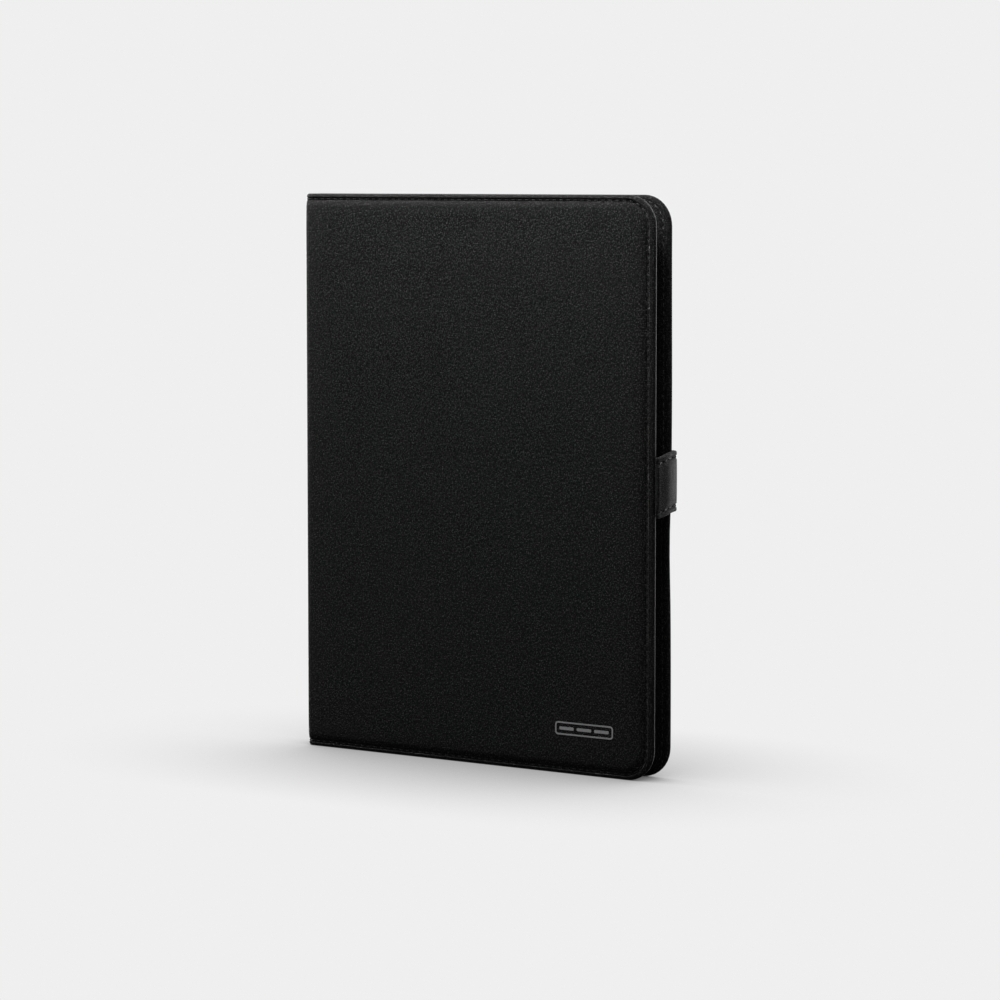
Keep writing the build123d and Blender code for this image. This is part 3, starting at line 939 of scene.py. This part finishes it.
# Depths run from the outer face to the inner one. The pad ends before the turn, and the tail is
# thinner than the padded part.
for v in strap.data.vertices:
    s, depth, z = v.co
    thick = strap_t + (tail_t - strap_t) * smoothstep(s, strap_face - 3.5 * mm, strap_face + 1.0 * mm)
    from_side = min(z - strap_lo.z, strap_hi.z - z)
    if depth > strap_t / 2:
        depth = thick - (strap_t - depth) * thick / strap_t
    else:
        pad = smoothstep(from_side, 3.0 * mm, 7 * mm) * (1 - smoothstep(s, 10 * mm, 17 * mm))
        depth = (depth + sewn_relief(from_side)) * tail_flattened(s) - strap_pad_rise * pad
        depth += end_turned(s, depth)
    v.co = wrapped(s, depth, z)
shape(strap)
face_outwards()
done()
bpy.ops.object.shade_smooth_by_angle(angle=math.radians(55))
strap.data.materials.append(cover_finish)
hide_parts("strap_outer_fabric", "strap_tail", "strap_foam")
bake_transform(strap)


# Strap's lining: a small sheet of the covers' microfibre, glued and sewn inside the padded part,
# where it rubs on the covers' edges.
strap_lining = flat_plate(
    "strap_inner_sheet", 1.2 * mm, strap_face - 1.0 * mm,
    strap_lo.z + 1.5 * mm, strap_hi.z - 1.5 * mm, strap_t + 0.05 * mm)
shape(strap_lining)
cut_across(steps(0, strap_face, 1.5 * mm), "X")
cut_across(steps(strap_lo.z, strap_hi.z, 3 * mm), "Z")
bpy.ops.mesh.select_all(action="SELECT")
bpy.ops.mesh.flip_normals()
done()
lay_weave(strap_lining)
for v in strap_lining.data.vertices:
    lifted = smoothstep(v.co.x, strap_face - 4 * mm, strap_face)
    v.co = wrapped(v.co.x, v.co.y - 0.6 * mm * lifted, v.co.z)
thicken(strap_lining, 0.25 * mm)
strap_lining.data.materials.append(lining_finish)
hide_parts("strap_lining")
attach(strap_lining, "strap")


# Strap's seams: one row along each long side of the padded part, and a U of stitches round the
# tail, which holds the strap to the back cover.
def on_strap(s, z, depth):
    """A stitch's place on the strap's outer face, in its groove."""
    deep = (strap_groove - 0.5 * thread_r) * tail_flattened(s)
    deep += end_turned(s, deep)
    return wrapped(s, deep + depth, z)


strap_low, strap_high = strap_lo.z + strap_stitch_inset, strap_hi.z - strap_stitch_inset
tail_start = strap_face + strap_arc
tail_round = 2.0 * mm
tail_bend = Vector((strap_length - strap_stitch_inset - tail_round, 0))
tail_line = (
    [Vector((tail_start, strap_low))]
    + corner_line(tail_bend + Vector((0, strap_low + tail_round)), tail_round, -quarter_turn, 0)
    + corner_line(tail_bend + Vector((0, strap_high - tail_round)), tail_round, 0, quarter_turn)
    + [Vector((tail_start, strap_high))])
row_start = 0.8 * mm
strap_rows = (
    ("strap_thread_lower", "strap_stitching",
     [Vector((row_start, strap_low)), Vector((tail_start, strap_low))]),
    ("strap_thread_upper", "strap_stitching",
     [Vector((row_start, strap_high)), Vector((tail_start, strap_high))]),
    ("strap_tail_thread", "strap_tail_stitching", tail_line),
)
for name, node_name, line in strap_rows:
    row = sew(name, line, on_strap, thread)
    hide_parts(node_name)
    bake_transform(row)


# Studio: the case stands on a pale seamless floor that glows as bright as the wall behind it, with a
# painted contact shadow round the case. One softbox lights the front from above, so that it fades
# downwards, and three more rim its top, its fore-edge and its spine.
backdrop = "#efefef"
# How far the floor's painted contact shadow reaches.
painted_shadow_reach = 0.13
floor_reach = 6.0


def glowing_floor_painted_shadow():
    """A white floor that glows evenly, as bright as the backdrop, with a painted contact shadow:
    occlusion darkens its colour only within a hand's breadth of the case.
    """
    made, tree = bare_material("floor_with_painted_contact_shadow")
    # Painted contact shadow: ambient occlusion darkens the glowing floor's colour towards #202020 near
    # the case.
    painted_shadow_occlusion = node(tree, "ShaderNodeAmbientOcclusion", {"Distance": painted_shadow_reach}, samples=16)
    depth = node(tree, "ShaderNodeMath", {0: painted_shadow_occlusion.outputs["AO"], 1: 1.15}, operation="POWER")
    tint = node(tree, "ShaderNodeMix", {
        0: depth.outputs[0], 6: colour("#202020"), 7: colour(backdrop)}, data_type="RGBA")
    finish_material(tree, node(tree, "ShaderNodeEmission", {"Color": tint.outputs[2]}))
    return made


bpy.ops.object.select_all(action="DESELECT")
bpy.ops.mesh.primitive_circle_add(vertices=96, radius=floor_reach, fill_type="NGON")
floor = bpy.context.object
floor.name = "studio_floor"
floor.data.materials.append(glowing_floor_painted_shadow())


def softbox(place, aim, size, watts):
    """A rectangular soft light that the camera doesn't see."""
    bpy.ops.object.light_add(
        type="AREA", location=place,
        rotation=(Vector(aim) - Vector(place)).to_track_quat("-Z", "Y").to_euler())
    lamp = bpy.context.object
    lamp.visible_camera = False
    lamp.data.shape = "RECTANGLE"
    lamp.data.size, lamp.data.size_y = size
    lamp.data.energy = watts


# Above the front, above and behind, behind the fore-edge, and beyond the spine.
softbox((-0.04, -0.075, 0.44), (-0.02, 0.0, 0.20), (0.42, 0.05), 8.6)
softbox((0.10, 0.35, 0.75), (0.0, 0.0, 0.25), (0.8, 0.2), 26.0)
softbox((0.22, 0.95, 0.25), (0.1, 0.0, 0.13), (0.3, 0.6), 70.0)
softbox((-0.90, -0.06, 0.50), (-0.1, 0.0, 0.20), (0.3, 0.4), 38.0)

world = bpy.data.worlds.new("studio")
bpy.context.scene.world = world
world.use_nodes = True
world.node_tree.nodes["Background"].inputs["Color"].default_value = colour(backdrop)
world.node_tree.nodes["Background"].inputs["Strength"].default_value = 1.0
bpy.context.scene.view_settings.view_transform = "Standard"
